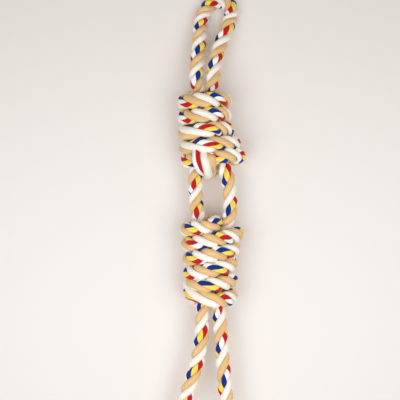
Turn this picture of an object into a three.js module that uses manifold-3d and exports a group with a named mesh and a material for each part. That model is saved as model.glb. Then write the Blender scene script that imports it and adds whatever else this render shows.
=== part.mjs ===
// Rope dog toy. One cotton rope is doubled into a hand loop, its two legs are bound together at two places
// by wraps of shorter ropes, and each of its two ends is tied in a stopper knot and frayed into a tassel.
// Millimetres, +Z up, +Y towards the hand loop. The toy lies on a table at Z = 0, and the origin is on the
// table under the middle of the toy.

import * as THREE from 'three';
import { mergeVertices } from 'three/addons/utils/BufferGeometryUtils.js';
import Module from 'manifold-3d';

// The rope: its free diameter, and how far it is drawn down where it is pulled tight.
const ROPE_D = 14.5;
const WRAP_D = 13.5;
const CORE_D = 11.5;
const KNOT_D = 11.8;
const KNOT_CORE_D = 10.2;
const STRAND_D = 5;

// Clearances: between ropes that lie on each other, between neighbouring turns, and between cut faces.
const CLEARANCE = 0.5;
const TURN_GAP = 0.95;
const KNOT_TURN_GAP = 1.7;
const FACE_GAP = 0.3;
const FLAT_DEPTH = 1.4;

// The wraps: turns of each, how far the innermost turn opens sideways around the spreading legs, where along
// the wrap it does so, how far the legs stand out at the outer end, and where inside they end and change
// sides.
const WRAP_TURNS = 5;
const WRAP_FLARE = 5;
const FLARE_START = 6;
const FLARE_END = -34;
const MOUTH_OUT = 2;
const CORE_INNER_END = -21.5;
const TWIST_LENGTH = 23;
const TWIST_START = 8;
const LEG_STEPS = 26;

// The tucked end of a wrap: the angle at which it leaves the last turn, how far it stands out past the turns
// as it goes up between the legs, and how far in it ends.
const TUCK_ANGLE = 0.32;
const TUCK_OUT = 4.3;
const TUCK_END = -18.5;
const TUCK_STEPS = 20;

// Where the wraps and the knots sit, and how each wrap leans aside at its inner end.
const UPPER_X = -4.5;
const UPPER_Y = 108.9;
const UPPER_LEAN = 9;
const UPPER_TUCK_X = 6.2;
const LOWER_X = 1.3;
const LOWER_Y = -19.2;
const LOWER_LEAN = -1.8;
const LOWER_TUCK_X = -2.8;
const LEFT_KNOT = { x: -34.25, y: -197, turn: -13 };
const RIGHT_KNOT = { x: 20.25, y: -197, turn: 5 };
const CENTRE_X = 10.96;
const CENTRE_Y = 6.54;

// The flexing stretches of the free legs, measured from the mouth of the wrap that they leave.
const NECK_LENGTH = 25;
const STRAIGHT_LEAD = 3.4;
const DRAW_LENGTH = 21;

// The stopper knots and their frayed ends.
const KNOT_TURNS = 1;
const KNOT_LEAD = 26;
const TASSEL_LENGTH = 36;
const TASSEL_SPREAD = 13;
const TUFT_END_D = 13;
const TUFT_STEPS = 9;

// Facets: sides of a tube and steps in one turn.
const SIDES = 8;
const FREE_SIDES = 10;
const TURN_STEPS = 24;

// Derived sizes.
const WRAP_PITCH = WRAP_D + TURN_GAP;
const CORE_SPACING = CORE_D + CLEARANCE;
const CORE_OFFSET = CORE_SPACING / Math.sqrt(3);
const WRAP_R = CORE_OFFSET + CORE_D / 2 + CLEARANCE + WRAP_D / 2;
const WRAP_AXIS_Z = WRAP_R + WRAP_D / 2 - FLAT_DEPTH;
const WRAP_END_Y = (WRAP_TURNS * WRAP_PITCH) / 2;
const KNOT_PITCH = KNOT_D + KNOT_TURN_GAP;
const KNOT_CORE_Z = (KNOT_CORE_D + CLEARANCE) / 2;
const KNOT_R = KNOT_CORE_Z + KNOT_CORE_D / 2 + CLEARANCE + KNOT_D / 2;
const KNOT_AXIS_Z = KNOT_R + KNOT_D / 2 - FLAT_DEPTH;
const TABLE_ROPE_Z = ROPE_D / 2 - FLAT_DEPTH;

// A lead joins a rope lying along an axis to the turns wound round it. It meets the turns at this angle.
const LEAD_SINE = 0.6;
const LEAD_COSINE = 0.8;
const LEAD_ANGLE = Math.asin(LEAD_SINE);
const LEAD_STEPS = 6;

const wasm = await Module();
wasm.setup();

const vec = (x, y, z) => new THREE.Vector3(x, y, z);
const rope = (color) => new THREE.MeshStandardMaterial({ color, roughness: 0.95, metalness: 0 });
const ROPE_COLOUR = 0xe9d9bd;
const WHITE_COLOUR = 0xf3ede0;
const TAN_COLOUR = 0xd8b078;
const BLUE_COLOUR = 0x1d3f9c;

function smooth(from, to, value) {
  return THREE.MathUtils.smoothstep((value - from) / (to - from), 0, 1);
}

function directionsOf(centres) {
  const last = centres.length - 1;
  return centres.map((centre, i) => {
    const ahead = centres[Math.min(i + 1, last)];
    const behind = centres[Math.max(i - 1, 0)];
    return ahead.clone().sub(behind).normalize();
  });
}

// A closed tube through the given centres, with its own radius at each and flat ends square to the route.
function tube(centres, radii, sides, directions = directionsOf(centres)) {
  const positions = [];
  const triangles = [];
  const last = centres.length - 1;
  let along = directions[0];
  let side = vec(0, 0, 1).cross(along);
  if (side.length() < 0.1) {
    side = vec(1, 0, 0).cross(along);
  }
  side.normalize();
  centres.forEach((centre, i) => {
    const next = directions[i];
    side.applyQuaternion(new THREE.Quaternion().setFromUnitVectors(along, next));
    along = next;
    const up = along.clone().cross(side).normalize();
    for (let k = 0; k < sides; k += 1) {
      const angle = (2 * Math.PI * k) / sides;
      const point = centre.clone();
      point.addScaledVector(side, radii[i] * Math.cos(angle));
      point.addScaledVector(up, radii[i] * Math.sin(angle));
      positions.push(point.x, point.y, point.z);
    }
  });
  for (let i = 0; i < last; i += 1) {
    for (let k = 0; k < sides; k += 1) {
      const a = i * sides + k;
      const b = i * sides + ((k + 1) % sides);
      triangles.push(a, b, a + sides, b, b + sides, a + sides);
    }
  }
  for (let k = 1; k < sides - 1; k += 1) {
    const end = last * sides;
    triangles.push(0, k + 1, k, end, end + k, end + k + 1);
  }
  const geometry = new THREE.BufferGeometry();
  geometry.setAttribute('position', new THREE.Float32BufferAttribute(positions, 3));
  geometry.setIndex(triangles);
  return geometry;
}

function toSolid(geometry) {
  const bare = geometry.clone();
  bare.deleteAttribute('normal');
  bare.deleteAttribute('uv');
  const merged = mergeVertices(bare);
  const vertProperties = new Float32Array(merged.attributes.position.array);
  const triVerts = new Uint32Array(merged.index.array);
  return new wasm.Manifold(new wasm.Mesh({ numProp: 3, vertProperties, triVerts }));
}

// Cuts flat whatever of a tube would press into the table, which lies at tableZ.
function cutFlat(geometry, tableZ) {
  geometry.computeBoundingBox();
  const box = geometry.boundingBox;
  if (box.min.z >= tableZ) {
    return geometry;
  }
  const size = box.getSize(vec(0, 0, 0)).addScalar(ROPE_D);
  const middle = box.getCenter(vec(0, 0, 0));
  const slab = new THREE.BoxGeometry(size.x, size.y, ROPE_D);
  slab.translate(middle.x, middle.y, tableZ - ROPE_D / 2);
  const mesh = toSolid(geometry).subtract(toSolid(slab)).getMesh();
  const cut = new THREE.BufferGeometry();
  cut.setAttribute('position', new THREE.BufferAttribute(mesh.vertProperties, 3));
  cut.setIndex(new THREE.BufferAttribute(mesh.triVerts, 1));
  return cut;
}

// The least gap between two stretches of one tube that lie further apart along it than a half turn.
function printLeastGap(name, centres, radii, apart) {
  const lengths = [0];
  for (let i = 1; i < centres.length; i += 1) {
    lengths.push(lengths[i - 1] + centres[i].distanceTo(centres[i - 1]));
  }
  let least = Infinity;
  for (let i = 0; i < centres.length; i += 1) {
    for (let j = i + 1; j < centres.length; j += 1) {
      if (lengths[j] - lengths[i] > apart) {
        least = Math.min(least, centres[i].distanceTo(centres[j]) - radii[i] - radii[j]);
      }
    }
  }
  const total = lengths.at(-1);
  console.log(`${name}: ${total.toFixed(0)} mm of rope, least gap to itself ${least.toFixed(2)} mm`);
}

function addMesh(group, name, geometry, color) {
  geometry.computeVertexNormals();
  const mesh = new THREE.Mesh(geometry, rope(color));
  mesh.name = name;
  group.add(mesh);
}

// A free rope along hand-chosen points, cut into named stretches that meet face to face. It is drawn down at
// either end, where it enters a wrap or a knot. Each stretch is a name, its length and its number of steps,
// and one stretch may leave its length out, which takes up the rest.
function addFreeRope(group, points, startD, endD, stretches) {
  const curve = new THREE.CatmullRomCurve3(points, false, 'centripetal');
  const total = curve.getLength();
  const named = stretches.reduce((sum, stretch) => sum + (stretch.length ?? 0), 0);
  let from = 0;
  for (const stretch of stretches) {
    const to = from + (stretch.length ?? total - named);
    const first = from === 0 ? 0 : from + FACE_GAP / 2;
    const final = total - to < FACE_GAP ? total : to - FACE_GAP / 2;
    const centres = [];
    const directions = [];
    const radii = [];
    for (let i = 0; i <= stretch.steps; i += 1) {
      const done = THREE.MathUtils.lerp(first, final, i / stretch.steps);
      const opening = THREE.MathUtils.lerp(startD, ROPE_D, smooth(0, DRAW_LENGTH, done));
      const closing = THREE.MathUtils.lerp(endD, ROPE_D, smooth(0, DRAW_LENGTH, total - done));
      centres.push(curve.getPointAt(done / total));
      directions.push(curve.getTangentAt(done / total));
      radii.push(Math.min(opening, closing) / 2);
    }
    addMesh(group, stretch.name, cutFlat(tube(centres, radii, FREE_SIDES, directions), 0), ROPE_COLOUR);
    from = to;
  }
}

// How far the middle of a wrap is shifted aside at height y of its own axis, and how wide the turn is there.
const leanAt = (y, lean) => lean * smooth(FLARE_START, FLARE_END, y);
const widthAt = (y) => WRAP_R + WRAP_FLARE * smooth(FLARE_START, FLARE_END, y);

// One of the two legs inside a wrap. They lie side by side at each end and change sides between.
function legInWrap(side, y, lean) {
  const twist = THREE.MathUtils.clamp((TWIST_START - y) / TWIST_LENGTH, 0, 1);
  const spread = 60 + 30 * Math.sin(Math.PI * twist);
  const angle = THREE.MathUtils.degToRad(90 - 180 * twist + side * -spread);
  const held = Math.max(y, CORE_INNER_END + STRAIGHT_LEAD);
  const x = leanAt(held, lean) + CORE_OFFSET * Math.cos(angle);
  return vec(x, y, CORE_OFFSET * Math.sin(angle));
}

function addLegsInWrap(group, name, lean) {
  const top = WRAP_END_Y + MOUTH_OUT;
  for (const [side, label] of [[-1, 'left'], [1, 'right']]) {
    const centres = [];
    for (let i = 0; i <= LEG_STEPS; i += 1) {
      centres.push(legInWrap(side, THREE.MathUtils.lerp(top, CORE_INNER_END, i / LEG_STEPS), lean));
    }
    const radii = centres.map(() => CORE_D / 2);
    addMesh(group, `${name}_${label}_leg`, tube(centres, radii, SIDES), ROPE_COLOUR);
  }
}

// A lead from the axial line at depth core to the turn of radius outer that starts at height startY.
function lead(startY, core, outer) {
  const reach = LEAD_SINE * outer;
  const points = [];
  for (let i = 0; i < LEAD_STEPS; i += 1) {
    const angle = (Math.PI / 2) * (i / LEAD_STEPS);
    const depth = THREE.MathUtils.lerp(core, LEAD_COSINE * outer, smooth(0, Math.PI / 2, angle));
    points.push(vec(-reach * (1 - Math.cos(angle)), startY - reach * (1 - Math.sin(angle)), -depth));
  }
  return points;
}

// A wrap: its buried start, its turns from the outer end inwards, and its end tucked between the legs.
function addWrap(group, name, lean, tuckX) {
  const centres = [];
  const radii = [];
  const add = (point, diameter) => {
    centres.push(point);
    radii.push(diameter / 2);
  };
  const leadFoot = WRAP_END_Y - LEAD_SINE * WRAP_R;
  add(vec(0, leadFoot - WRAP_D, -CORE_OFFSET), CORE_D);
  add(vec(0, leadFoot - WRAP_D / 2, -CORE_OFFSET), CORE_D);
  lead(WRAP_END_Y, CORE_OFFSET, WRAP_R).forEach((point, i) => {
    add(point, THREE.MathUtils.lerp(CORE_D, WRAP_D, i / LEAD_STEPS));
  });
  const lastAngle = 2 * Math.PI * WRAP_TURNS - TUCK_ANGLE;
  const steps = Math.round(((lastAngle - LEAD_ANGLE) / (2 * Math.PI)) * TURN_STEPS);
  for (let i = 0; i <= steps; i += 1) {
    const angle = THREE.MathUtils.lerp(LEAD_ANGLE, lastAngle, i / steps);
    const y = WRAP_END_Y - (WRAP_PITCH * angle) / (2 * Math.PI);
    const x = leanAt(y, lean) - widthAt(y) * Math.sin(angle);
    add(vec(x, y, -WRAP_R * Math.cos(angle)), WRAP_D);
  }
  const heldX = leanAt(CORE_INNER_END + STRAIGHT_LEAD, lean);
  const lowY = -WRAP_END_Y - TUCK_OUT;
  const tuck = new THREE.CatmullRomCurve3([
    centres.at(-1),
    vec(tuckX + 0.23 * WRAP_R, lowY + 0.75 * TUCK_OUT, -0.87 * WRAP_R),
    vec(tuckX + 0.045 * WRAP_R, lowY + 0.28 * TUCK_OUT, -0.62 * WRAP_R),
    vec(tuckX, lowY, -0.31 * WRAP_R),
    vec(tuckX, lowY, -0.03 * WRAP_R),
    vec(tuckX, lowY + 0.47 * TUCK_OUT, 0.6 * CORE_OFFSET),
    vec((tuckX + heldX) / 2, lowY + 1.4 * TUCK_OUT, 0.94 * CORE_OFFSET),
    vec(heldX, lowY + 2.28 * TUCK_OUT, CORE_OFFSET),
    vec(heldX, (lowY + 2.28 * TUCK_OUT + TUCK_END) / 2, CORE_OFFSET),
    vec(heldX, TUCK_END, CORE_OFFSET),
  ], false, 'centripetal');
  for (let i = 1; i <= TUCK_STEPS; i += 1) {
    const drawn = smooth(0, 0.3, i / TUCK_STEPS);
    add(tuck.getPointAt(i / TUCK_STEPS), THREE.MathUtils.lerp(WRAP_D, CORE_D, drawn));
  }
  printLeastGap(name, centres, radii, Math.PI * WRAP_D);
  addMesh(group, name, cutFlat(tube(centres, radii, SIDES), -WRAP_AXIS_Z), ROPE_COLOUR);
}

// A stopper knot about its own Y axis: the rope runs in over the top, turns round itself and runs out below.
function addStopperKnot(group, name) {
  const turned = 2 * Math.PI * KNOT_TURNS + Math.PI - 2 * LEAD_ANGLE;
  const endY = (KNOT_PITCH * turned) / (4 * Math.PI);
  const flipped = (point) => vec(point.x, point.y, -point.z);
  const outward = lead(endY, KNOT_CORE_Z, KNOT_R).map(flipped);
  const inward = lead(endY, KNOT_CORE_Z, KNOT_R).map((point) => vec(point.x, -point.y, point.z)).reverse();
  const centres = [vec(0, -KNOT_LEAD, KNOT_CORE_Z), vec(0, -KNOT_LEAD / 2, KNOT_CORE_Z)];
  const radii = [KNOT_CORE_D / 2, KNOT_CORE_D / 2];
  outward.forEach((point, i) => {
    centres.push(point);
    radii.push(THREE.MathUtils.lerp(KNOT_CORE_D, KNOT_D, i / LEAD_STEPS) / 2);
  });
  const steps = Math.round((turned / (2 * Math.PI)) * TURN_STEPS);
  for (let i = 0; i <= steps; i += 1) {
    const angle = LEAD_ANGLE + (turned * i) / steps;
    const y = endY - (2 * endY * i) / steps;
    centres.push(vec(-KNOT_R * Math.sin(angle), y, KNOT_R * Math.cos(angle)));
    radii.push(KNOT_D / 2);
  }
  inward.forEach((point, i) => {
    centres.push(point);
    radii.push(THREE.MathUtils.lerp(KNOT_D, KNOT_CORE_D, (i + 1) / LEAD_STEPS) / 2);
  });
  centres.push(vec(0, KNOT_LEAD / 2, -KNOT_CORE_Z), vec(0, KNOT_LEAD, -KNOT_CORE_Z));
  radii.push(KNOT_CORE_D / 2, KNOT_CORE_D / 2);
  printLeastGap(name, centres, radii, Math.PI * KNOT_D);
  addMesh(group, name, cutFlat(tube(centres, radii, SIDES), -KNOT_AXIS_Z), ROPE_COLOUR);
}

// The frayed end past a knot: the rope's three strands, each opened into a tuft that drops to the table.
function addTassel(group, name) {
  const ring = (STRAND_D + CLEARANCE) / Math.sqrt(3);
  const tufts = [
    ['white', 210, -1, WHITE_COLOUR],
    ['tan', 90, 0, TAN_COLOUR],
    ['colour', -30, 1, BLUE_COLOUR],
  ];
  const from = KNOT_LEAD + FACE_GAP;
  for (const [label, degrees, way, color] of tufts) {
    const angle = THREE.MathUtils.degToRad(degrees);
    const x = ring * Math.cos(angle);
    const z = ring * Math.sin(angle) - KNOT_CORE_Z;
    const lowZ = TUFT_END_D / 2 - KNOT_AXIS_Z;
    const curve = new THREE.CatmullRomCurve3([
      vec(x, from, z),
      vec(x, from + STRAND_D / 2, z),
      vec(way * TASSEL_SPREAD * 0.45, from + TASSEL_LENGTH * 0.3, THREE.MathUtils.lerp(z, lowZ, 0.25)),
      vec(way * TASSEL_SPREAD * 0.85, from + TASSEL_LENGTH * 0.65, THREE.MathUtils.lerp(z, lowZ, 0.8)),
      vec(way * TASSEL_SPREAD * 1.1, from + TASSEL_LENGTH, lowZ),
    ], false, 'centripetal');
    const centres = curve.getSpacedPoints(TUFT_STEPS);
    const radii = centres.map((centre, i) => {
      const opened = smooth(0.1, 1, i / TUFT_STEPS);
      return THREE.MathUtils.lerp(STRAND_D, TUFT_END_D, opened) / 2;
    });
    addMesh(group, `${name}_${label}`, cutFlat(tube(centres, radii, SIDES), -KNOT_AXIS_Z), color);
  }
}

const toy = new THREE.Group();
toy.position.set(CENTRE_X, CENTRE_Y, 0);

const upper = new THREE.Group();
upper.position.set(UPPER_X, UPPER_Y, WRAP_AXIS_Z);
const lower = new THREE.Group();
lower.position.set(LOWER_X, LOWER_Y, WRAP_AXIS_Z);
lower.rotation.z = Math.PI;
toy.add(upper, lower);
addLegsInWrap(upper, 'upper', UPPER_LEAN);
addWrap(upper, 'upper_wrap', UPPER_LEAN, UPPER_TUCK_X);
addLegsInWrap(lower, 'lower', LOWER_LEAN);
addWrap(lower, 'lower_wrap', LOWER_LEAN, LOWER_TUCK_X);

// Where a leg leaves a wrap, in the toy's own frame, a little past its cut face and further along by lead.
function legExit(group, lean, side, outer, further) {
  group.updateMatrix();
  const y = outer ? WRAP_END_Y + MOUTH_OUT : CORE_INNER_END;
  const point = legInWrap(side, y, lean);
  point.y += (outer ? 1 : -1) * (FACE_GAP + further);
  return point.applyMatrix4(group.matrix);
}

const exitPair = (group, lean, side, outer) => [
  legExit(group, lean, side, outer, 0),
  legExit(group, lean, side, outer, STRAIGHT_LEAD),
];

// The hand loop, and the two necks on which it bends at the mouth of the upper wrap.
addFreeRope(toy, [
  ...exitPair(upper, UPPER_LEAN, -1, true),
  vec(-12.4, 157, 28.6),
  vec(-12.3, 167, 27),
  vec(-11.6, 178, 24.2),
  vec(-10.3, 190, 20.2),
  vec(-9.4, 201, 16.1),
  vec(-8.8, 211.5, 12.3),
  vec(-7.4, 221.5, 8.8),
  vec(-4.6, 230, 6.6),
  vec(0.2, 236.8, TABLE_ROPE_Z),
  vec(7.4, 240.8, TABLE_ROPE_Z),
  vec(15.2, 240.8, TABLE_ROPE_Z),
  vec(21.4, 236.8, TABLE_ROPE_Z),
  vec(23, 230, 6.6),
  vec(20.9, 221.5, 8.8),
  vec(17.5, 211.5, 12.3),
  vec(13.4, 201, 16.1),
  vec(9.6, 190, 20.2),
  vec(6, 178, 24.2),
  vec(4.5, 167, 27),
  vec(3.6, 157, 28.6),
  ...exitPair(upper, UPPER_LEAN, 1, true).reverse(),
], CORE_D, CORE_D, [
  { name: 'loop_left_neck', length: NECK_LENGTH, steps: 8 },
  { name: 'hand_loop', steps: 44 },
  { name: 'loop_right_neck', length: NECK_LENGTH, steps: 8 },
]);

// The two legs between the wraps, which bend together when the toy is folded in the middle.
addFreeRope(toy, [
  ...exitPair(upper, UPPER_LEAN, 1, false),
  vec(-6.8, 78.6, 22.2),
  vec(-10.8, 73.2, 24.4),
  vec(-13.4, 66, 25),
  vec(-13.5, 57, 24.2),
  vec(-13, 45, 23.8),
  vec(-12.4, 34, 24.2),
  vec(-11.2, 27, 25),
  vec(-9.4, 20.4, 24.6),
  vec(-6.4, 12.6, 22.4),
  ...exitPair(lower, LOWER_LEAN, -1, false).reverse(),
], CORE_D, CORE_D, [{ name: 'left_middle_leg', steps: 24 }]);
addFreeRope(toy, [
  ...exitPair(upper, UPPER_LEAN, -1, false),
  vec(11.9, 78.6, 22.2),
  vec(15.2, 72, 24.2),
  vec(17.8, 64.6, 25),
  vec(19.4, 56, 24.2),
  vec(20.5, 45, 23.8),
  vec(20.8, 34, 24.2),
  vec(20.2, 26.5, 25),
  vec(18.1, 19.8, 24.6),
  vec(13.4, 12.4, 22.4),
  ...exitPair(lower, LOWER_LEAN, 1, false).reverse(),
], CORE_D, CORE_D, [{ name: 'right_middle_leg', steps: 24 }]);

// A tail with its neck, its stopper knot and its tassel.
function addTail(label, side, place, points) {
  const knot = new THREE.Group();
  knot.position.set(place.x, place.y, KNOT_AXIS_Z);
  knot.rotation.z = Math.PI + THREE.MathUtils.degToRad(place.turn);
  knot.updateMatrix();
  toy.add(knot);
  const entry = (further) => vec(0, -KNOT_LEAD - FACE_GAP - further, KNOT_CORE_Z).applyMatrix4(knot.matrix);
  addFreeRope(toy, [
    ...exitPair(lower, LOWER_LEAN, side, true),
    ...points,
    entry(STRAIGHT_LEAD),
    entry(0),
  ], CORE_D, KNOT_CORE_D, [
    { name: `${label}_tail_neck`, length: NECK_LENGTH, steps: 8 },
    { name: `${label}_tail`, steps: 24 },
  ]);
  addStopperKnot(knot, `${label}_stopper_knot`);
  addTassel(knot, `${label}_tassel`);
}

addTail('left', 1, LEFT_KNOT, [
  vec(-6.5, -67, 28.7),
  vec(-7, -77, 28.6),
  vec(-7.4, -90, 28.4),
  vec(-8.3, -100, 28.2),
  vec(-10.3, -112, 28),
  vec(-13.8, -124, 27.8),
  vec(-18, -138, 27.4),
  vec(-22, -150, 27),
  vec(-25.6, -160, 26.6),
]);
addTail('right', -1, RIGHT_KNOT, [
  vec(9.3, -67, 28.7),
  vec(10.4, -77, 28.6),
  vec(11.3, -90, 28.4),
  vec(12, -100, 28.2),
  vec(12.8, -112, 28),
  vec(13.8, -124, 27.8),
  vec(15, -138, 27.4),
  vec(16.4, -150, 27),
  vec(17.2, -160, 26.6),
]);

export default toy;
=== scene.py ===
import math

import bpy
import numpy as np
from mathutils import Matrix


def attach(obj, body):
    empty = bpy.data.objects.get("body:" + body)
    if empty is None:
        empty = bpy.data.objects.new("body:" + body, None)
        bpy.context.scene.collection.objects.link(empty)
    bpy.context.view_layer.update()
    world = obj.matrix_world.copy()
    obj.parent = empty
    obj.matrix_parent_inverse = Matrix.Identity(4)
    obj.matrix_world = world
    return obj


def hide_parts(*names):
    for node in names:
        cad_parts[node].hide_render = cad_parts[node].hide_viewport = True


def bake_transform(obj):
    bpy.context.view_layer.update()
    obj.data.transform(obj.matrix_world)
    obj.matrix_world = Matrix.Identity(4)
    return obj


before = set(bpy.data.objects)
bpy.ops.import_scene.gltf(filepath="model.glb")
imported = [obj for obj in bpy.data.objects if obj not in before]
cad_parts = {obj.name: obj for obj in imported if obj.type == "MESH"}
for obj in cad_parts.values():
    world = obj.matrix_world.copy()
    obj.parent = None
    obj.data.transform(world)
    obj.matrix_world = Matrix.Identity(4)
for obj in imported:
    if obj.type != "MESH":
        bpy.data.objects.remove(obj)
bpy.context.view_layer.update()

# Rope dog toy: a three-strand cotton rope doubled into a hand loop, bound by two rope wraps, with a stopper
# knot and a frayed tassel at each end.
# Routes are in millimetres, as in the part's source, and meshes in metres.
MM = 0.001
CENTRE = np.array([10.96, 6.54, 0.0])

# Rope diameters: free, in the turns of a wrap, squeezed inside a wrap, at its mouth, in the turns of a stopper
# knot and inside one. Then the gap between ropes, and how far they are flattened where they rest.
ROPE_D = 14.5
TURN_D = 15.2
CORE_D = 11.5
MOUTH_D = 12.6
KNOT_D = 12.6
KNOT_CORE_D = 10.6
CLEARANCE = 0.5
FLAT_DEPTH = 1.4

# The wraps and the two legs inside them. A wrap widens by WRAP_FLARE and leans aside between two heights
# along it. The legs stand LEG_SPREAD degrees to each side of their middle, and further apart where they
# cross. way is -1 where a wrap is turned round, and lean how far its inner end stands aside.
WRAP_D = 13.5
TURN_GAP = 0.95
WRAP_TURNS = 5
WRAP_PITCH = WRAP_D + TURN_GAP
WRAP_FLARE = 5
FLARE_START = 6
FLARE_END = -34
MOUTH_OUT = 2
CORE_INNER_END = -21.5
TWIST_LENGTH = 23
TWIST_START = 8
LEG_SPREAD = 60
LEG_SPREAD_MORE = 30
CORE_OFFSET = (CORE_D + CLEARANCE) / math.sqrt(3)
WRAP_R = CORE_OFFSET + CORE_D / 2 + CLEARANCE + WRAP_D / 2
WRAP_AXIS_Z = WRAP_R + WRAP_D / 2 - FLAT_DEPTH
WRAP_END_Y = WRAP_TURNS * WRAP_PITCH / 2
LAST_FRONT = 2 * math.pi * (WRAP_TURNS - 0.5)
UPPER = {"place": (-4.5, 108.9), "way": 1, "lean": 9}
LOWER = {"place": (1.3, -19.2), "way": -1, "lean": -1.8}

# The free ropes, and the two ends of the stretch in which the middle legs bend.
STRAIGHT_LEAD = 3.4
DRAW_LENGTH = 21
FACE_GAP = 0.3
TABLE_ROPE_Z = ROPE_D / 2 - FLAT_DEPTH

# The stopper knots. place is the middle of a knot, and turn how far it is turned, in degrees.
SOLID_KNOT_D = 11.8
SOLID_KNOT_CORE_D = 10.2
KNOT_GAP = 1.7
KNOT_PITCH = SOLID_KNOT_D + KNOT_GAP
KNOT_LEAD = 26
KNOT_CORE_Z = (SOLID_KNOT_CORE_D + CLEARANCE) / 2
KNOT_R = KNOT_CORE_Z + SOLID_KNOT_CORE_D / 2 + CLEARANCE + SOLID_KNOT_D / 2
KNOT_AXIS_Z = KNOT_R + SOLID_KNOT_D / 2 - FLAT_DEPTH
LEFT_KNOT = {"place": (-34.25, -197), "turn": -13}
RIGHT_KNOT = {"place": (20.25, -197), "turn": 5}

# Where a rope comes up from the middle of a wrap or knot into its first turn.
LEAD_SINE = 0.6
LEAD_COSINE = 0.8

# The camera looks straight down from 0.9 m, and one pixel is about one millimetre. Half the picture and the
# distance to it are in pixels.
CAMERA_AT = (0.00196, 0.04754, 0.9)
HALF_PICTURE = 200
CAMERA_FOCUS = 885
CAMERA_ANGLE = 2 * math.atan(HALF_PICTURE / CAMERA_FOCUS)

bpy.ops.object.select_all(action="DESELECT")
bpy.ops.object.camera_add(location=CAMERA_AT, rotation=(0, 0, 0))
camera = bpy.context.object
camera.data.angle = CAMERA_ANGLE
bpy.context.scene.camera = camera


def smooth(start, end, value):
    share = np.clip((np.asarray(value, float) - start) / (end - start), 0, 1)
    return share * share * (3 - 2 * share)


def mix(low, high, share):
    return low + (high - low) * share


def unit(vectors):
    return vectors / np.linalg.norm(vectors, axis=-1, keepdims=True)


# A smooth line through given points, and the same line at even steps.
def curve_through(points, per_span=24):
    given = np.array(points, float)
    ends = np.vstack([2 * given[0] - given[1], given, 2 * given[-1] - given[-2]])
    pieces = []
    for i in range(1, len(ends) - 2):
        a, b, c, d = ends[i - 1 : i + 3]
        ab, bc, cd = (math.sqrt(np.linalg.norm(q - p)) for p, q in ((a, b), (b, c), (c, d)))
        out = bc * ((b - a) / ab - (c - a) / (ab + bc) + (c - b) / bc)
        into = bc * ((c - b) / bc - (d - b) / (bc + cd) + (d - c) / cd)
        t = np.linspace(0, 1, per_span, endpoint=False)[:, None]
        cubic = 2 * t**3 - 3 * t**2
        pieces.append((cubic + 1) * b + (t**3 - 2 * t**2 + t) * out - cubic * c + (t**3 - t**2) * into)
    return np.vstack(pieces + [given[-1:]])


def lengths_of(points):
    return np.concatenate([[0], np.cumsum(np.linalg.norm(np.diff(points, axis=0), axis=1))])


def even(points, values, step):
    lengths = lengths_of(points)
    places = np.linspace(0, lengths[-1], max(4, round(lengths[-1] / step)) + 1)
    table = np.column_stack([points] + list(values))
    return np.column_stack([np.interp(places, lengths, column) for column in table.T])


# The side of a rope that faces a hint at each point, carried along evenly where the hint is not a number.
def facing(points, hints):
    along = unit(np.gradient(points, axis=0))
    sides = np.zeros_like(points)
    side = np.array([0.0, 0.0, 1.0])
    for i, direction in enumerate(along):
        wanted = side if np.isnan(hints[i, 0]) else hints[i]
        side = wanted - direction * (wanted @ direction)
        side = side / np.linalg.norm(side)
        sides[i] = side
    return along, sides


# A soft piece made of closed tubes. Each tube gives its rings of points, the yarn that lies at each column
# of a ring and past its last column, the length along it, its material and how deep each point lies in a
# groove, which the material darkens there as painted shade.
def tube_piece(name, tubes, materials):
    vertices, faces, slots, uvs, grooves = [], [], [], [], []
    for rings, yarns, lengths, material, groove in tubes:
        count, columns = rings.shape[:2]
        first = sum(len(part) for part in vertices)
        i, k = (grid.ravel() for grid in np.meshgrid(np.arange(count - 1), np.arange(columns), indexing="ij"))
        a, b = first + i * columns + k, first + i * columns + (k + 1) % columns
        faces.extend(np.column_stack([a, b, b + columns, a + columns]).tolist())
        faces.append([first + q for q in reversed(range(columns))])
        faces.append([first + (count - 1) * columns + q for q in range(columns)])
        slots.extend([material] * (len(a) + 2))
        corners = ((i, k), (i, k + 1), (i + 1, k + 1), (i + 1, k))
        uv = np.stack([np.column_stack([yarns[r, c], lengths[r]]) for r, c in corners], axis=1)
        uvs.extend([uv.reshape(-1, 2), np.zeros((2 * columns, 2))])
        vertices.append(rings.reshape(-1, 3))
        grooves.append(groove.ravel())
    mesh = bpy.data.meshes.new(name)
    mesh.from_pydata((np.vstack(vertices) * MM).tolist(), [], faces)
    layer = mesh.uv_layers.new(name="yarn")
    layer.data.foreach_set("uv", np.vstack(uvs).astype(np.float32).ravel())
    depth = mesh.attributes.new("groove", "FLOAT", "POINT")
    depth.data.foreach_set("value", np.concatenate(grooves).astype(np.float32))
    mesh.polygons.foreach_set("material_index", np.array(slots, np.int32))
    mesh.polygons.foreach_set("use_smooth", np.ones(len(faces), bool))
    for material in materials:
        mesh.materials.append(material)
    piece = bpy.data.objects.new(name, mesh)
    bpy.context.scene.collection.objects.link(piece)
    return piece


# One strand's cut across the rope: a round lobe from groove to groove, and two flat sides that meet at the
# rope's heart. ACROSS runs over the lobe, INWARD is the share of the way to the heart, and TURNED the angle
# about the strand's own heart.
STRANDS = 3
LOBE_POINTS = 23
ACROSS = np.array([*np.linspace(-1, 1, LOBE_POINTS), 1, 1, 0, -1, -1])
INWARD = np.array([*np.zeros(LOBE_POINTS), 0.35, 0.68, 0.97, 0.68, 0.35])
TURNED = np.radians([*np.linspace(-110, 110, LOBE_POINTS), 135, 158, 180, 202, 225])
LOBE_DEPTH = 0.39
LOBE_POWER = 1.8
LOBE_EDGE = 0.995
WIDEST_LOBE = 1.1
WIDE_LOBE_POWER = 1.5
YARN_TURNS_PER_LAY = 2
# How far from a groove between strands, in millimetres, the painted groove shade reaches.
GROOVE_WIDTH = 0.75

# Strands of an opened rope lie side by side in this order.
ROW = (-1, 0, 1)
ROW_STEP = 1.06
ROW_STRAND_R = 0.55


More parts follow.
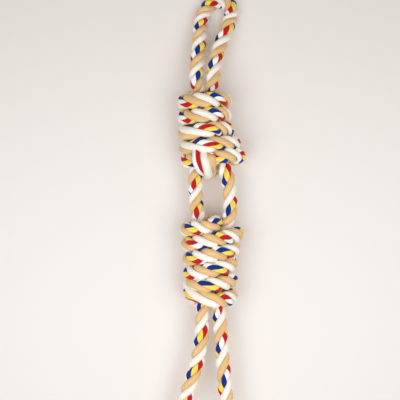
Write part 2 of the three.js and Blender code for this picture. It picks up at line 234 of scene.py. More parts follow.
# A laid rope as one mesh: three strands along a route. lay counts the turns of the rope, and is a whole
# number where the tan strand faces the side that the route gives. drift turns the yarns of each strand, in
# degrees. On a bend the strands slide, so that they cross its outer side slowly. Where opened is 1 they lie
# apart in a row.
def laid_rope(name, points, along, sides, lay, drift, thick, slide=0, opened=0):
    across = np.cross(along, sides)
    lengths = lengths_of(points)
    radius = thick[:, None] / 2
    slide = np.broadcast_to(slide, len(points))[:, None]
    opened = np.broadcast_to(opened, len(points))[:, None]
    around = np.append(TURNED, TURNED[0] + 2 * math.pi) / (2 * math.pi)
    tubes = []
    for strand in range(STRANDS):
        turn = 2 * math.pi * (lay[:, None] + strand / STRANDS)
        edges = (turn - math.pi / STRANDS, turn + math.pi / STRANDS)
        low, high = (edge - slide * np.sin(edge) for edge in edges)
        half = (high - low) / 2
        angle = (low + high) / 2 + LOBE_EDGE * half * ACROSS
        depth = LOBE_DEPTH * np.minimum(half * STRANDS / math.pi, WIDEST_LOBE) ** WIDE_LOBE_POWER
        reach = (1 - depth * np.abs(ACROSS) ** LOBE_POWER) * (1 - INWARD)
        up = mix(reach * np.cos(angle), ROW_STRAND_R * np.cos(turn + TURNED), opened)
        in_row = ROW_STEP * ROW[strand] + ROW_STRAND_R * np.sin(turn + TURNED)
        aside = mix(reach * np.sin(angle), in_row, opened)
        rings = points[:, None] + radius[..., None] * (
            up[..., None] * sides[:, None] + aside[..., None] * across[:, None])
        rings[..., 2] = np.maximum(rings[..., 2], 0)
        yarns = YARN_TURNS_PER_LAY * turn / (2 * math.pi) + drift[:, None] / 360 + around
        # How deep each point lies in a groove between strands, for the painted shade there; none where the
        # strands lie opened.
        from_groove = radius * half * (1 - np.abs(ACROSS))
        groove = (1 - smooth(0, GROOVE_WIDTH, from_groove)) * (1 - opened)
        tubes.append((rings, yarns, lengths, strand, groove))
    return tube_piece(name, tubes, ROPE_MATERIALS)


# Turns of lay along a route from those at given lengths, carried on evenly before the first and past the
# last.
def lay_along(lengths, stations, turns):
    first = (turns[1] - turns[0]) / (stations[1] - stations[0])
    last = (turns[-1] - turns[-2]) / (stations[-1] - stations[-2])
    lay = np.interp(lengths, stations, turns)
    lay = np.where(lengths < stations[0], turns[0] + (lengths - stations[0]) * first, lay)
    return np.where(lengths > stations[-1], turns[-1] + (lengths - stations[-1]) * last, lay)


def hex_colour(text):
    parts = [int(text[i : i + 2], 16) / 255 for i in (1, 3, 5)]
    linear = [p / 12.92 if p <= 0.04045 else ((p + 0.055) / 1.055) ** 2.4 for p in parts]
    return (*linear, 1)


def add_node(tree, kind, inputs=None, **settings):
    made = tree.nodes.new(kind)
    for name, value in settings.items():
        setattr(made, name, value)
    for name, value in (inputs or {}).items():
        if isinstance(value, bpy.types.NodeSocket):
            tree.links.new(value, made.inputs[name])
        else:
            made.inputs[name].default_value = value
    return made


# Soft cotton yarn, spun and laid but not polished: matt, with a faint bloom of loose fibres at grazing
# angles and fine streaks along each yarn. A dark line of painted shade lies in the crease where two yarns
# meet, and painted shade darkens the grooves between strands. Colours run from one yarn of the strand to
# the next. Twelve yarns of about 2 mm make a strand. The streaks are three to a yarn and about 2.2 mm long,
# which is coarser than real fibres, so that they show.
YARNS = 12
FIRST_COLOUR_AT = 0.125
STREAK_SCALE = (3.0, 0.45, 1)
DARKEST_YARN = 0.96
YARN_TONE = 0.06
STREAK_TONE = 0.12
# The power that draws the painted shade line in the crease between two yarns.
YARN_CREASE_SHADE = 0.05
# How much painted shade darkens the grooves between strands.
GROOVE_SHADE = -0.5
STREAK_HEIGHT = 0.35


def cotton(name, shades, sheen=0.25):
    material = bpy.data.materials.new(name)
    material.use_nodes = True
    tree = material.node_tree
    tree.nodes.clear()
    uv = add_node(tree, "ShaderNodeUVMap", uv_map="yarn")
    split = add_node(tree, "ShaderNodeSeparateXYZ", {0: uv.outputs[0]})
    around, along = split.outputs[0], split.outputs[1]
    centred = add_node(tree, "ShaderNodeMath", {0: around, 1: FIRST_COLOUR_AT}, operation="ADD")
    share = add_node(tree, "ShaderNodeMath", {0: centred.outputs[0]}, operation="FRACT")
    ramp = add_node(tree, "ShaderNodeValToRGB", {0: share.outputs[0]})
    ramp.color_ramp.interpolation = "CONSTANT"
    for i, shade in enumerate(shades):
        stop = ramp.color_ramp.elements[i] if i < 2 else ramp.color_ramp.elements.new(i / len(shades))
        stop.position = i / len(shades)
        stop.color = hex_colour(shade)
    counted = add_node(tree, "ShaderNodeMath", {0: share.outputs[0], 1: YARNS}, operation="MULTIPLY")
    which = add_node(tree, "ShaderNodeMath", {0: counted.outputs[0]}, operation="FLOOR")
    part = add_node(tree, "ShaderNodeMath", {0: counted.outputs[0]}, operation="FRACT")
    arch = add_node(tree, "ShaderNodeMath", {0: part.outputs[0], 1: math.pi}, operation="MULTIPLY")
    ridge = add_node(tree, "ShaderNodeMath", {0: arch.outputs[0]}, operation="SINE")
    own = add_node(tree, "ShaderNodeTexWhiteNoise", {"W": which.outputs[0]}, noise_dimensions="1D")
    stretched = add_node(tree, "ShaderNodeCombineXYZ", {0: counted.outputs[0], 1: along})
    fibre_at = add_node(tree, "ShaderNodeMapping", {"Vector": stretched.outputs[0], "Scale": STREAK_SCALE})
    fibres = add_node(tree, "ShaderNodeTexNoise", {
        "Vector": fibre_at.outputs[0], "Scale": 1.0, "Detail": 3.0})
    tone = add_node(tree, "ShaderNodeMath", {
        0: own.outputs[0], 1: YARN_TONE, 2: DARKEST_YARN}, operation="MULTIPLY_ADD")
    streak = add_node(tree, "ShaderNodeMath", {
        0: fibres.outputs[0], 1: STREAK_TONE, 2: tone.outputs[0]}, operation="MULTIPLY_ADD")
    # Painted shade: a dark line in the crease at the edges of each yarn.
    yarn_crease_shade = add_node(tree, "ShaderNodeMath", {0: ridge.outputs[0], 1: YARN_CREASE_SHADE}, operation="POWER")
    lit = add_node(tree, "ShaderNodeMath", {0: streak.outputs[0], 1: yarn_crease_shade.outputs[0]}, operation="MULTIPLY")
    # Painted shade: the colour is darker deep in the grooves between strands.
    groove = add_node(tree, "ShaderNodeAttribute", attribute_name="groove")
    groove_shade_factor = add_node(tree, "ShaderNodeMath", {
        0: groove.outputs["Fac"], 1: GROOVE_SHADE, 2: 1.0}, operation="MULTIPLY_ADD")
    value = add_node(tree, "ShaderNodeMath", {
        0: lit.outputs[0], 1: groove_shade_factor.outputs[0]}, operation="MULTIPLY")
    tinted = add_node(tree, "ShaderNodeHueSaturation", {"Value": value.outputs[0], "Color": ramp.outputs[0]})
    height = add_node(tree, "ShaderNodeMath", {
        0: fibres.outputs[0], 1: STREAK_HEIGHT, 2: ridge.outputs[0]}, operation="MULTIPLY_ADD")
    bump = add_node(tree, "ShaderNodeBump", {
        "Strength": 0.35, "Distance": 0.00025, "Height": height.outputs[0]})
    shader = add_node(tree, "ShaderNodeBsdfPrincipled", {
        "Base Color": tinted.outputs[0],
        "Roughness": 0.9,
        "Specular IOR Level": 0.2,
        "Sheen Weight": sheen,
        "Sheen Roughness": 0.5,
        "Normal": bump.outputs[0],
    })
    add_node(tree, "ShaderNodeOutputMaterial", {0: shader.outputs[0]})
    return material


ROPE_MATERIALS = [
    cotton("tan cotton", ["#ebc48b", "#e7be82"]),
    cotton("white cotton", ["#fcf7ec", "#faf4e6"]),
    cotton("coloured cotton", ["#0d2d85", "#fbe05c", "#c4161b", "#fcfaf5"], sheen=0.1),
]


# The way that the two legs take through a wrap, in the wrap's own frame, and a wrap's frame in the toy's.
def lean_at(y, wrap):
    return wrap["lean"] * smooth(FLARE_START, FLARE_END, y)


def leg_in_wrap(wrap, side, y):
    twist = np.clip((TWIST_START - y) / TWIST_LENGTH, 0, 1)
    spread = LEG_SPREAD + LEG_SPREAD_MORE * np.sin(math.pi * twist)
    angle = np.radians(90 - 180 * twist - side * spread)
    held = np.maximum(y, CORE_INNER_END + STRAIGHT_LEAD)
    aside = lean_at(held, wrap) + CORE_OFFSET * np.cos(angle)
    return np.stack([aside, y, CORE_OFFSET * np.sin(angle)], axis=-1)


def in_toy(wrap, points):
    turned = np.array(points, float) * [wrap["way"], wrap["way"], 1]
    return turned + [*wrap["place"], WRAP_AXIS_Z]


def exit_pair(wrap, side, outer):
    y = WRAP_END_Y + MOUTH_OUT if outer else CORE_INNER_END
    way = 1 if outer else -1
    start = leg_in_wrap(wrap, side, np.array(float(y)))
    return [in_toy(wrap, start + [0, way * (FACE_GAP + further), 0]) for further in (0, STRAIGHT_LEAD)]


# Ropes are drawn at steps of this length.
STEP = 1.0


def up_hints(points):
    return np.tile([0.0, 0.0, 1.0], (len(points), 1))


# A free rope along given points in the direction of its lay. heights are the places along the toy
# where the tan strand lies on top, each with the turn of the coloured yarns that follow it by a third of a
# turn of lay. A bight has as many of them on its way up as on its way down.
def free_rope(name, points, heights, start_d, end_d, bight=False):
    line = even(curve_through(points), [], STEP)
    lengths = lengths_of(line)
    top = np.argmax(line[:, 1])
    stations = []
    for i, (height, _) in enumerate(heights):
        part = slice(None)
        if bight:
            part = slice(0, top + 1) if i < len(heights) / 2 else slice(top, None)
        order = np.argsort(line[part, 1])
        stations.append(np.interp(height, line[part, 1][order], lengths[part][order]))
    turns = np.arange(len(heights))
    lay = lay_along(lengths, stations, turns)
    drift = np.interp(lay, turns + 1 / STRANDS, [colour for _, colour in heights])
    total = lengths[-1]
    opening = mix(start_d, ROPE_D, smooth(0, DRAW_LENGTH, lengths))
    closing = mix(end_d, ROPE_D, smooth(0, DRAW_LENGTH, total - lengths))
    along, sides = facing(line, up_hints(line))
    piece = laid_rope(name, line + CENTRE, along, sides, lay, drift, np.minimum(opening, closing))
    return piece, (line + CENTRE) * MM, lay


LOOP_POINTS = [
    *exit_pair(UPPER, -1, True),
    (-12.4, 157, 28.6), (-12.3, 167, 27), (-11.6, 178, 24.2), (-10.3, 190, 20.2), (-9.4, 201, 16.1),
    (-8.8, 211.5, 12.3), (-7.4, 221.5, 8.8), (-4.6, 230, 6.6), (0.2, 236.8, TABLE_ROPE_Z),
    (7.4, 240.8, TABLE_ROPE_Z), (15.2, 240.8, TABLE_ROPE_Z), (21.4, 236.8, TABLE_ROPE_Z), (23, 230, 6.6),
    (20.9, 221.5, 8.8), (17.5, 211.5, 12.3), (13.4, 201, 16.1), (9.6, 190, 20.2), (6, 178, 24.2),
    (4.5, 167, 27), (3.6, 157, 28.6),
    *exit_pair(UPPER, 1, True)[::-1],
]
LOOP_HEIGHTS = [
    (152, -35), (179.3, 25), (208.6, 90), (233.3, 150),
    (238.6, 150), (218.9, 180), (187.5, 270), (157.3, 315),
]
LEFT_MIDDLE_POINTS = [
    *exit_pair(UPPER, 1, False),
    (-6.8, 78.6, 22.2), (-10.8, 73.2, 24.4), (-13.4, 66, 25), (-13.5, 57, 24.2), (-13, 45, 23.8),
    (-12.4, 34, 24.2), (-11.2, 27, 25), (-9.4, 20.4, 24.6), (-6.4, 12.6, 22.4),
    *exit_pair(LOWER, -1, False)[::-1],
]
LEFT_MIDDLE_HEIGHTS = [(67.7, 148), (38.9, 165)]
RIGHT_MIDDLE_POINTS = [
    *exit_pair(UPPER, -1, False),
    (11.9, 78.6, 22.2), (15.2, 72, 24.2), (17.8, 64.6, 25), (19.4, 56, 24.2), (20.5, 45, 23.8),
    (20.8, 34, 24.2), (20.2, 26.5, 25), (18.1, 19.8, 24.6), (13.4, 12.4, 22.4),
    *exit_pair(LOWER, 1, False)[::-1],
]
RIGHT_MIDDLE_HEIGHTS = [(21.5, 33), (54.6, 95)]
LEFT_TAIL_POINTS = [
    (-6.5, -67, 28.7), (-7, -77, 28.6), (-7.4, -90, 28.4), (-8.3, -100, 28.2), (-10.3, -112, 28),
    (-13.8, -124, 27.8), (-18, -138, 27.4), (-22, -150, 27), (-25.6, -160, 26.6),
]
LEFT_TAIL_HEIGHTS = [(-136.8, 90), (-102.8, 114), (-68.6, 108)]
RIGHT_TAIL_POINTS = [
    (9.3, -67, 28.7), (10.4, -77, 28.6), (11.3, -90, 28.4), (12, -100, 28.2), (12.8, -112, 28),
    (13.8, -124, 27.8), (15, -138, 27.4), (16.4, -150, 27), (17.2, -160, 26.6),
]
RIGHT_TAIL_HEIGHTS = [(-57, 237), (-88.1, 277), (-123.2, 353), (-161.5, 420)]


def in_knot(knot, points):
    angle = math.pi + math.radians(knot["turn"])
    x, y, z = np.array(points, float).T
    cos, sin = math.cos(angle), math.sin(angle)
    return np.column_stack([cos * x - sin * y, sin * x + cos * y, z]) + [*knot["place"], KNOT_AXIS_Z]


def knot_entry(knot):
    return in_knot(knot, [
        (0, -KNOT_LEAD - FACE_GAP - further, KNOT_CORE_Z) for further in (STRAIGHT_LEAD, 0)])


hand_loop, loop_path, _ = free_rope("hand_loop_rope", LOOP_POINTS, LOOP_HEIGHTS, MOUTH_D, MOUTH_D, bight=True)
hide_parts("hand_loop", "loop_left_neck", "loop_right_neck")
left_middle, left_middle_path, _ = free_rope(
    "left_middle_rope", LEFT_MIDDLE_POINTS, LEFT_MIDDLE_HEIGHTS, MOUTH_D, MOUTH_D)
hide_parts("left_middle_leg")
right_middle, right_middle_path, _ = free_rope(
    "right_middle_rope", RIGHT_MIDDLE_POINTS[::-1], RIGHT_MIDDLE_HEIGHTS, MOUTH_D, MOUTH_D)
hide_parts("right_middle_leg")
left_tail, left_tail_path, left_tail_lay = free_rope(
    "left_tail_rope", [*exit_pair(LOWER, 1, True), *LEFT_TAIL_POINTS, *knot_entry(LEFT_KNOT)][::-1],
    LEFT_TAIL_HEIGHTS, KNOT_CORE_D, MOUTH_D)
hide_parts("left_tail", "left_tail_neck")
right_tail, right_tail_path, right_tail_lay = free_rope(
    "right_tail_rope", [*exit_pair(LOWER, -1, True), *RIGHT_TAIL_POINTS, *knot_entry(RIGHT_KNOT)],
    RIGHT_TAIL_HEIGHTS, MOUTH_D, KNOT_CORE_D)
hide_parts("right_tail", "right_tail_neck")


# The way of a rope from the middle of a wrap or knot up into its first turn.
def lead(start_y, core, outer, steps=24):
    angle = np.linspace(0, math.pi / 2, steps, endpoint=False)
    reach = LEAD_SINE * outer
    depth = mix(core, LEAD_COSINE * outer, smooth(0, math.pi / 2, angle))
    return np.column_stack([-reach * (1 - np.cos(angle)), start_y - reach * (1 - np.sin(angle)), -depth])


# The rope of each wrap. Angles count round the wrap from its underside, in degrees.
# hand is the way its turns run, slide how far its strands slide on the bend, shift how far out it starts, and
# last the angle at which the last turn ends. opened is 1 where the end lies open as strands side by side.
# The tilt eases from first_tilt to tilt along the wrap, and start_tilt is added where the rope comes up. The
# last row is pressed in at the front and raised towards the row before it, in millimetres.
# end is the route by which the rope is tucked away between the legs, and place_on_end the step on it at which
# the rope is tucked. lays are the turns of lay at the first angle of lay_at, then from each to the next, to
# that step and to the last point. The tan strand faces out at each whole turn.
# colours turn the coloured yarns at given angles, and end_colours at that step and at the last point.
UPPER.update(
    hand=1, slide=0.42, shift=0, start_tilt=0, first_tilt=0.18, tilt=0.23,
    last=1782, pressed=8.5, raised=2.8, opened=1,
    end=[
        (10.8, -36.4, -17.3), (7.1, -37.6, -12.4), (5.2, -39.2, -6.2), (3.7, -40.1, 2), (2.2, -38, 13),
        (0.7, -33, 20), (-0.8, -27.6, 21.2), (-1.8, -22.9, 17.2), (-2.3, -19.4, 11),
    ],
    place_on_end=100,
    lay_at=[151, 189, 219, 505, 543, 573, 785, 866, 919, 1140, 1218, 1266, 1578, 1650, 1723],
    lays=[0, 0.33, 0.34, 3.33, 0.33, 0.34, 3.33, 0.33, 0.34, 3.33, 0.33, 0.34, 3.33, 1, 1, 2.36, -0.05],
    colours=[
        (215, -90), (568, -68), (870, 180), (950, 25), (1221, 260), (1300, 110), (1500, 165), (1690, 150),
    ],
    end_colours=[150, 40],
)
LOWER.update(
    hand=-1, slide=0.25, shift=7.3, start_tilt=-0.36, first_tilt=-0.14, tilt=0.07,
    last=1938, pressed=0, raised=0, opened=0,
    end=[(5, -33.5, 15.5), (-2.5, -35.5, 12.5), (-4.8, -38, 6), (-3.8, -40, -1), (-3.5, -41, -7)],
    place_on_end=38,
    lay_at=[40, 103, 187, 202, 468, 503, 885, 1269, 1628],
    lays=[-1.2, 0.7, 0.33, 0.17, 3.8, 0.2, 4, 4, 4, 5.05, 0.9],
    colours=[
        (100, 405), (226, 238), (538, 42), (843, 70), (914, 45), (1222, 80), (1291, 75), (1575, 185),
        (1647, 200), (1926, 45),
    ],
    end_colours=[62, 62],
)


# Where the tilts, the raised last row and the pressed front begin and end: heights along the wrap, and
# turns in radians.
START_TURN = (0.6, 1.6)
START_ROW = (33.5, 39.5)
FIRST_ROWS = (8, 36)
LAST_ROW = (-16, -29)
PRESS_BEFORE = 0.1
PRESS_WIDTH = 0.4
TURN_STEP = math.radians(2)

# The buried start has a point at each of these shares of the rope's thickness.
BURIED_SHARES = (1, 0.75, 0.5, 0.25)

# Lengths of rope over which it grows thick, slides round the first turn, opens at its end and grows thin,
# and how far the opened end leans aside.
THIN_START = 20
FULL_START = 30
THIN_END = 15
SLIDE_IN = 20
OPEN_BEFORE = 10
OPEN_AFTER = 30
END_LEAN = 0.35


# A wrap: its buried start, its turns and its end tucked between the legs.
def wrap_rope(name, wrap):
    first_y = WRAP_END_Y + wrap["shift"]
    lead_foot = first_y - LEAD_SINE * WRAP_R
    start = [(0, lead_foot - WRAP_D * share, -CORE_OFFSET) for share in BURIED_SHARES]
    before = np.vstack([start, lead(first_y, CORE_OFFSET, WRAP_R) * [wrap["hand"], 1, 1]])
    turn = np.arange(math.asin(LEAD_SINE), math.radians(wrap["last"]), TURN_STEP)
    y = first_y - WRAP_PITCH * turn / (2 * math.pi)
    y = y + wrap["raised"] * smooth(*LAST_ROW, y)
    deep = WRAP_R - (TURN_D - ROPE_D) / 2
    aside = -wrap["hand"] * np.sin(turn) * (deep + WRAP_FLARE * smooth(FLARE_START, FLARE_END, y))
    pressed = wrap["pressed"] * np.exp(-((turn - LAST_FRONT + PRESS_BEFORE) / PRESS_WIDTH) ** 2)
    start_share = smooth(*START_TURN, turn) * smooth(*START_ROW, y)
    tilt = mix(wrap["tilt"], wrap["first_tilt"], smooth(*FIRST_ROWS, y)) + wrap["start_tilt"] * start_share
    turns = np.column_stack([lean_at(y, wrap) + aside, y + tilt * aside, -deep * np.cos(turn) - pressed])
    end = curve_through([turns[-1], *wrap["end"]])[1:]
    points = np.vstack([before, turns, end])
    lengths = lengths_of(points)
    outwards = points * [1, 0, 1] - np.column_stack([lean_at(points[:, 1], wrap), 0 * lengths, 0 * lengths])
    if wrap["opened"]:
        swing = math.pi * smooth(0, 1, np.linspace(0, 1, len(end)))
        leaning = END_LEAN * np.sin(swing / 2)
        outwards[-len(end) :] = np.column_stack([leaning, -np.sin(swing), -np.cos(swing)])
    else:
        outwards[-len(end) :] = np.nan
    degrees, round_at = np.degrees(turn), lengths[len(before) : -len(end)]
    place = lengths[len(before) + len(turns) + wrap["place_on_end"]]
    total = lengths[-1]
    thick = np.interp(
        lengths, [0, THIN_START, FULL_START, total - THIN_END, total],
        [CORE_D, CORE_D, TURN_D, TURN_D, CORE_D])
    held_round = smooth(round_at[0] - SLIDE_IN, round_at[0] + SLIDE_IN, lengths)
    tucked = smooth(place - OPEN_BEFORE, place + OPEN_AFTER, lengths)
    slide = wrap["slide"] * held_round * (1 - tucked)
    table = even(points, [*outwards.T, thick, slide, wrap["opened"] * tucked], STEP)
    line, thick, slide, opened = table[:, :3], table[:, 6], table[:, 7], table[:, 8]
    along, sides = facing(line, table[:, 3:6])
    at = lengths_of(line)
    stations = [*np.interp(wrap["lay_at"], degrees, round_at), place, total]
    lay = lay_along(at, stations, np.cumsum(wrap["lays"]))
    colour_angles, colours = zip(*wrap["colours"])
    colour_at = [*np.interp(colour_angles, degrees, round_at), place, total]
    drift = np.interp(at, colour_at, [*colours, *wrap["end_colours"]])
    way = [wrap["way"], wrap["way"], 1]
    order = slice(None, None, -wrap["hand"])
    return laid_rope(
        name, (in_toy(wrap, line) + CENTRE)[order], (-wrap["hand"] * along * way)[order],
        (sides * way)[order], (-wrap["hand"] * lay)[order], drift[order], thick[order], slide[order],
        opened[order])


upper_wrap = wrap_rope("upper_wrap_rope", UPPER)
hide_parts("upper_wrap")
lower_wrap = wrap_rope("lower_wrap_rope", LOWER)
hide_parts("lower_wrap")


# The two legs hidden inside a wrap. Here and in the knots the rope is laid evenly, one turn to this length.
PLAIN_LAY = 28
LEG_STEPS = 44


def leg_rope(name, wrap, side):
    heights = np.linspace(WRAP_END_Y + MOUTH_OUT, CORE_INNER_END, LEG_STEPS)
    line = in_toy(wrap, leg_in_wrap(wrap, side, heights))
    along, sides = facing(line, np.full(line.shape, np.nan))
    lay = lengths_of(line) / PLAIN_LAY
    return laid_rope(name, line + CENTRE, along, sides, lay, 0 * lay, 0 * lay + CORE_D)


wrap_legs = {}
for where, wrap in (("upper", UPPER), ("lower", LOWER)):
    for label, side in (("left", -1), ("right", 1)):
        leg = leg_rope(f"{where}_{label}_leg_rope", wrap, side)
        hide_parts(f"{where}_{label}_leg")
        wrap_legs[where, label] = leg


# A stopper knot about its own axis: the rope runs in over the top, turns round itself and runs out below.
# It grows thick over the lengths of KNOT_EASE, and KNOT_COLOURS turns its coloured yarns, in degrees.
KNOT_STEPS = 120
STRAIGHT_STEPS = 12
KNOT_EASE = (8, 30)
KNOT_COLOURS = 100


def knot_rope(name, knot, lay_in, backwards):
    lead_angle = math.asin(LEAD_SINE)
    turned = 3 * math.pi - 2 * lead_angle
    end_y = KNOT_PITCH * turned / (4 * math.pi)
    out = lead(end_y, KNOT_CORE_Z, KNOT_R) * [1, 1, -1]
    back = (lead(end_y, KNOT_CORE_Z, KNOT_R) * [1, -1, 1])[::-1]
    share = np.linspace(0, 1, KNOT_STEPS)
    angle = lead_angle + turned * share
    turn = np.column_stack([-KNOT_R * np.sin(angle), end_y - 2 * end_y * share, KNOT_R * np.cos(angle)])
    points = np.vstack([
        [(0, y, KNOT_CORE_Z) for y in np.linspace(-KNOT_LEAD, out[0, 1] - STEP, STRAIGHT_STEPS)],
        out, turn, back,
        [(0, y, -KNOT_CORE_Z) for y in np.linspace(back[-1, 1] + STEP, KNOT_LEAD, STRAIGHT_STEPS)],
    ])
    lengths = lengths_of(points)
    ease = smooth(*KNOT_EASE, lengths) * smooth(*KNOT_EASE, lengths[-1] - lengths)
    table = even(points, [mix(KNOT_CORE_D, KNOT_D, ease)], STEP)
    line = in_knot(knot, table[:, :3])
    hints = np.full(line.shape, np.nan)
    hints[0] = (0, 0, 1)
    along, sides = facing(line, hints)
    lay = lay_in + lengths_of(line) / PLAIN_LAY * (-1 if backwards else 1)
    if backwards:
        line, along, sides, lay = line[::-1], -along[::-1], sides[::-1], lay[::-1]
    thick = table[::-1, 3] if backwards else table[:, 3]
    return laid_rope(name, line + CENTRE, along, sides, lay, 0 * lay + KNOT_COLOURS, thick)


left_knot = knot_rope("left_stopper_knot_rope", LEFT_KNOT, left_tail_lay[0], True)
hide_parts("left_stopper_knot")
right_knot = knot_rope("right_stopper_knot_rope", RIGHT_KNOT, right_tail_lay[-1], False)
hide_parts("right_stopper_knot")

# The frayed end past a knot: each strand opened into a tuft of wavy yarns that drops to the table. The golden
# angle spreads the yarns evenly, and scatters their waves and cut ends.
STRAND_D = 5
TASSEL_LENGTH = 36
TASSEL_SPREAD = 13
TUFT_END_D = 13
TUFT_YARNS = 36
YARN_R = 0.6
GOLDEN_ANGLE = math.pi * (3 - math.sqrt(5))

# A tuft's way, as shares of the spread, the length and the drop, the share of its length over which it opens,
# the yarns' waves in millimetres and radians, and where they are cut off and thinned.
TUFT_WAY = ((0.45, 0.3, 0.25), (0.85, 0.65, 0.8), (1.1, 1, 1))
TUFT_OPENS = (0.05, 1)
WAVE = 0.9
WAVE_STARTS = (0.1, 0.7)
WAVES_ASIDE = (9, 15)
WAVES_UP = (8, 14)
CUT_OFF = (0.84, 1)
TIP_STEPS = 4
TIP_THINNED = 0.5


def tuft(name, knot, degrees, way, material):
    ring = (STRAND_D + CLEARANCE) / math.sqrt(3)
    x = ring * math.cos(math.radians(degrees))
    z = ring * math.sin(math.radians(degrees)) - KNOT_CORE_Z
    first, low = KNOT_LEAD + FACE_GAP, TUFT_END_D / 2 - KNOT_AXIS_Z
    route = curve_through([
        (x, first, z),
        (x, first + STRAND_D / 2, z),
        *((way * TASSEL_SPREAD * out, first + TASSEL_LENGTH * on, mix(z, low, down))
          for out, on, down in TUFT_WAY),
    ])
    line = in_knot(knot, even(route, [], STEP))
    along, sides = facing(line, np.full(line.shape, np.nan))
    across = np.cross(along, sides)
    lengths = lengths_of(line)
    share = lengths / lengths[-1]
    open_r = mix(STRAND_D / 2, TUFT_END_D / 2, smooth(*TUFT_OPENS, share)) - YARN_R
    columns = np.radians(range(0, 360, 60))
    tubes = []
    for yarn in range(TUFT_YARNS):
        angle = yarn * GOLDEN_ANGLE
        out = open_r * math.sqrt((yarn + 0.5) / TUFT_YARNS)
        wave = WAVE * smooth(*WAVE_STARTS, share)
        swing_aside = mix(*WAVES_ASIDE, (angle / 3) % 1)
        swing_up = mix(*WAVES_UP, (angle / 5) % 1)
        sideways = out * math.cos(angle) + wave * np.sin(share * swing_aside + 5 * angle)
        upwards = out * math.sin(angle) + wave * np.sin(share * swing_up + 7 * angle)
        last = round(mix(*CUT_OFF, (angle / 2) % 1) * (len(line) - 1))
        heart = line + sideways[:, None] * sides + upwards[:, None] * across
        heart[:, 2] = np.maximum(heart[:, 2], YARN_R)
        forward, upright = facing(heart, np.full(line.shape, np.nan))
        aside = np.cross(forward, upright)
        girth = YARN_R * (1 - TIP_THINNED * smooth(last - TIP_STEPS, last, np.arange(len(line))))
        rings = heart[:, None] + girth[:, None, None] * (
            np.cos(columns)[:, None] * upright[:, None] + np.sin(columns)[:, None] * aside[:, None])
        kind = (yarn % YARNS + np.linspace(0, 1, len(columns) + 1)) / YARNS - FIRST_COLOUR_AT
        yarns = np.tile(kind, (len(line), 1))
        kept = slice(0, last + 1)
        tubes.append((rings[kept] + CENTRE, yarns[kept], lengths[kept], 0, np.zeros(rings[kept].shape[:2])))
    return tube_piece(name, tubes, [material])


tassels = {}
for label, knot in (("left", LEFT_KNOT), ("right", RIGHT_KNOT)):
    tassels[label] = []
    for kind, degrees, way, material, slot in (
        ("white", 210, -1, ROPE_MATERIALS[1], "white_cotton"),
        ("tan", 90, 0, ROPE_MATERIALS[0], "tan_cotton"),
        ("colour", -30, 1, ROPE_MATERIALS[2], "coloured_cotton"),
    ):
        piece = tuft(f"{label}_tassel_{kind}_yarns", knot, degrees, way, material)
        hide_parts(f"{label}_tassel_{kind}")
        tassels[label].append(piece)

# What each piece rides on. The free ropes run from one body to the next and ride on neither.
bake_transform(hand_loop)
for piece in (left_middle, right_middle):
    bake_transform(piece)
for piece, body in ((left_tail, "left_end"), (right_tail, "right_end")):
    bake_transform(piece)
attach(upper_wrap, "upper_binding")
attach(lower_wrap, "lower_binding")
for (where, _), leg in wrap_legs.items():
    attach(leg, f"{where}_binding")
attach(left_knot, "left_end")
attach(right_knot, "right_end")
for label, pieces in tassels.items():
    for piece in pieces:
        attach(piece, f"{label}_end")

# The table and the light. Where the eye or a reflection sees far past the toy, it sees one pale backdrop.
BACKDROP = "#efe9e2"
TABLE_SIZE = 6
NEAR_TABLE = 0.34
FAR_TABLE = 0.75
DOME = "#fff4e8"
DOME_STRENGTH = 0.4


def seen_share(tree):
    ray = add_node(tree, "ShaderNodeLightPath")
    share = ray.outputs["Is Camera Ray"]
    for kind in ("Is Glossy Ray", "Is Transmission Ray"):
        either = add_node(tree, "ShaderNodeMath", {0: share, 1: ray.outputs[kind]}, operation="MAXIMUM")
        share = either.outputs[0]
    return share


bpy.ops.object.select_all(action="DESELECT")
bpy.ops.mesh.primitive_plane_add(size=TABLE_SIZE, location=(0, 0, 0))
table = bpy.context.object
table.name = "table_top"

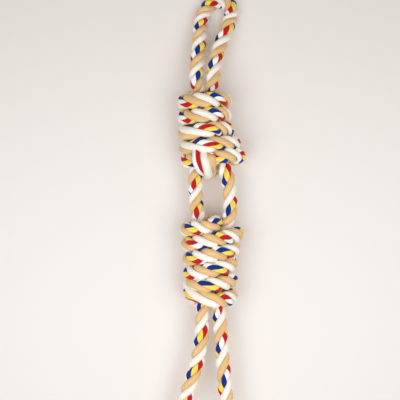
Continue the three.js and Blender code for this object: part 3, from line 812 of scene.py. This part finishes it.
# Matt white lacquer, sprayed: a warm white that takes soft shadows and hardly shines.
top = bpy.data.materials.new("matt white lacquer")
top.use_nodes = True
top.node_tree.nodes.clear()
lacquer = add_node(top.node_tree, "ShaderNodeBsdfPrincipled", {
    "Base Color": hex_colour("#f4efea"), "Roughness": 0.6, "Specular IOR Level": 0.2})
spot = add_node(top.node_tree, "ShaderNodeTexCoord")
away = add_node(top.node_tree, "ShaderNodeVectorMath", {0: spot.outputs["Object"]}, operation="LENGTH")
far = add_node(top.node_tree, "ShaderNodeMapRange", {
    "Value": away.outputs["Value"], "From Min": NEAR_TABLE, "From Max": FAR_TABLE,
}, interpolation_type="SMOOTHSTEP")
pale = add_node(top.node_tree, "ShaderNodeMath", {
    0: far.outputs[0], 1: seen_share(top.node_tree)}, operation="MULTIPLY")
distance = add_node(top.node_tree, "ShaderNodeEmission", {"Color": hex_colour(BACKDROP), "Strength": 1.0})
surface = add_node(top.node_tree, "ShaderNodeMixShader", {
    0: pale.outputs[0], 1: lacquer.outputs[0], 2: distance.outputs[0]})
add_node(top.node_tree, "ShaderNodeOutputMaterial", {0: surface.outputs[0]})
table.data.materials.append(top)

world = bpy.data.worlds.new("studio")
bpy.context.scene.world = world
world.use_nodes = True
world.node_tree.nodes.clear()
sky = add_node(world.node_tree, "ShaderNodeBackground", {
    "Color": hex_colour(DOME), "Strength": DOME_STRENGTH})
backdrop = add_node(world.node_tree, "ShaderNodeBackground", {
    "Color": hex_colour(BACKDROP), "Strength": 1.0})
seen = add_node(world.node_tree, "ShaderNodeMixShader", {
    0: seen_share(world.node_tree), 1: sky.outputs[0], 2: backdrop.outputs[0]})
add_node(world.node_tree, "ShaderNodeOutputWorld", {0: seen.outputs[0]})


# Two round softboxes aimed at the middle of the toy.
SOFTBOX_SIZE = 0.5
SOFTBOX_POWER = 1.92
SOFTBOX_COLOUR = "#f1f7ff"
LEFT_SOFTBOX = (-0.25, -0.1, 0.6)
RIGHT_SOFTBOX = (0.25, -0.1, 0.6)


def softbox(name, place):
    bpy.ops.object.select_all(action="DESELECT")
    bpy.ops.object.light_add(type="AREA", location=place)
    light = bpy.context.object
    light.name = name
    light.data.shape = "DISK"
    light.data.size = SOFTBOX_SIZE
    light.data.energy = SOFTBOX_POWER
    light.data.color = hex_colour(SOFTBOX_COLOUR)[:3]
    light.visible_camera = False
    x, y, z = place
    light.rotation_euler = (math.acos(z / np.linalg.norm(place)), 0, math.atan2(-x, y) + math.pi)


softbox("left softbox", LEFT_SOFTBOX)
softbox("right softbox", RIGHT_SOFTBOX)

bpy.context.scene.view_settings.view_transform = "Standard"
